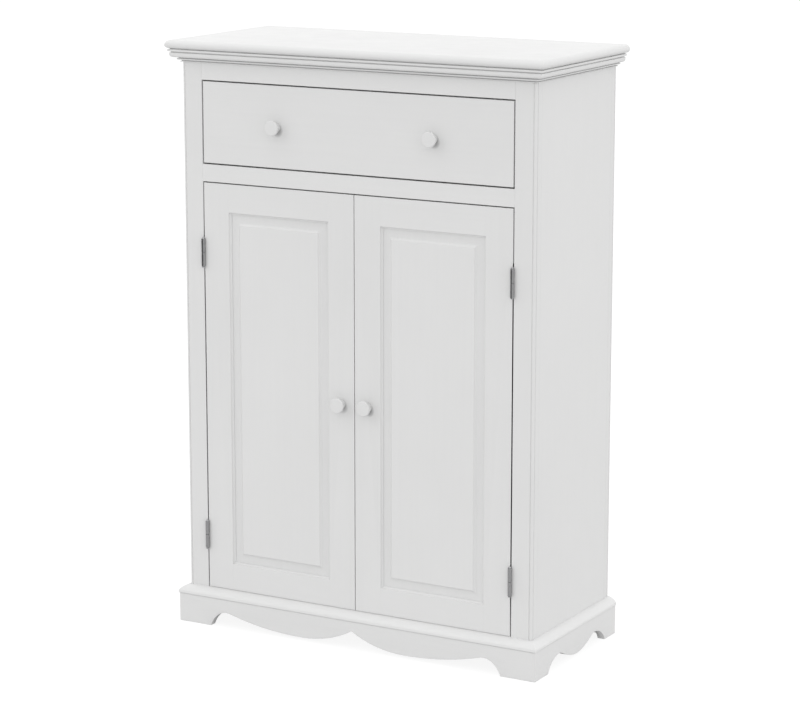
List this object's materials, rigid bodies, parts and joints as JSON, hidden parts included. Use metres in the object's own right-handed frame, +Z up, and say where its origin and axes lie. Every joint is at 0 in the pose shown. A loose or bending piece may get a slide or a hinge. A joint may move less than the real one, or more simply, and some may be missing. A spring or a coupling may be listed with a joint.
{
  "type": "storage cabinet with drawer and doors",
  "caption": "White painted floor cabinet: a wide drawer over a pair of raised-panel doors, under a moulded cornice, on a scalloped plinth with bracket feet.",
  "frame": {"origin": "on the floor under the middle of the bounding box", "axes": "+Z up along the height, the drawer and doors face -Y, +X to the right of someone facing the front; the YZ plane is the plane of symmetry"},
  "size_m": [0.6, 0.267, 0.854],
  "materials": {
    "white_paint": "smooth satin white paint on wood and board",
    "inside_paint": "eggshell white paint on board",
    "white_hardboard": "white faced hardboard",
    "hinge_steel": "satin nickel plated steel",
    "plated_steel": "bright plated steel",
    "catch_plastic": "moulded plastic with a matt surface"
  },
  "bodies": {
    "carcass": {"back_panel": "white_hardboard", "bottom_panel": "inside_paint", "cornice_front": "white_paint", "cornice_left": "white_paint", "cornice_right": "white_paint", "divider_panel": "inside_paint", "drawer_runner_left": "inside_paint", "drawer_runner_right": "inside_paint", "front_stile_left": "white_paint", "front_stile_right": "white_paint", "left_bottom_hinge_frame_leaf": "hinge_steel", "left_top_hinge_frame_leaf": "hinge_steel", "magnetic_catch": "catch_plastic", "middle_rail": "white_paint", "plinth_back": "white_paint", "plinth_cap_front": "white_paint", "plinth_cap_left": "white_paint", "plinth_cap_right": "white_paint", "plinth_front": "white_paint", "plinth_left": "white_paint", "plinth_right": "white_paint", "rear_post_left": "white_paint", "rear_post_right": "white_paint", "right_bottom_hinge_frame_leaf": "hinge_steel", "right_top_hinge_frame_leaf": "hinge_steel", "shelf": "inside_paint", "shelf_pin_left_front": "plated_steel", "shelf_pin_left_rear": "plated_steel", "shelf_pin_right_front": "plated_steel", "shelf_pin_right_rear": "plated_steel", "side_panel_left": "white_paint", "side_panel_right": "white_paint", "top_panel": "white_paint", "top_rail": "white_paint"},
    "drawer": {"drawer_back": "inside_paint", "drawer_bottom": "white_hardboard", "drawer_front": "white_paint", "drawer_knob_left": "white_paint", "drawer_knob_right": "white_paint", "drawer_side_left": "inside_paint", "drawer_side_right": "inside_paint"},
    "left_door": {"left_bottom_hinge_door_leaf": "hinge_steel", "left_door_bottom_rail": "white_paint", "left_door_catch_plate": "plated_steel", "left_door_hinge_stile": "white_paint", "left_door_knob": "white_paint", "left_door_lock_stile": "white_paint", "left_door_panel": "white_paint", "left_door_top_rail": "white_paint", "left_top_hinge_door_leaf": "hinge_steel"},
    "right_door": {"right_bottom_hinge_door_leaf": "hinge_steel", "right_door_bottom_rail": "white_paint", "right_door_catch_plate": "plated_steel", "right_door_hinge_stile": "white_paint", "right_door_knob": "white_paint", "right_door_lock_stile": "white_paint", "right_door_panel": "white_paint", "right_door_top_rail": "white_paint", "right_top_hinge_door_leaf": "hinge_steel"}
  },
  "joints": [
    {"name": "drawer_slide", "type": "slide", "parent": "carcass", "child": "drawer", "axis": [0, -1, 0], "range_m": [0, 0.17]},
    {"name": "left_door_hinge", "type": "hinge", "parent": "carcass", "child": "left_door", "pos_m": [-0.248, -0.1175, 0.135], "axis": [0, 0, -1], "range_deg": [0, 110]},
    {"name": "right_door_hinge", "type": "hinge", "parent": "carcass", "child": "right_door", "pos_m": [0.248, -0.1175, 0.135], "axis": [0, 0, 1], "range_deg": [0, 110]}
  ]
}
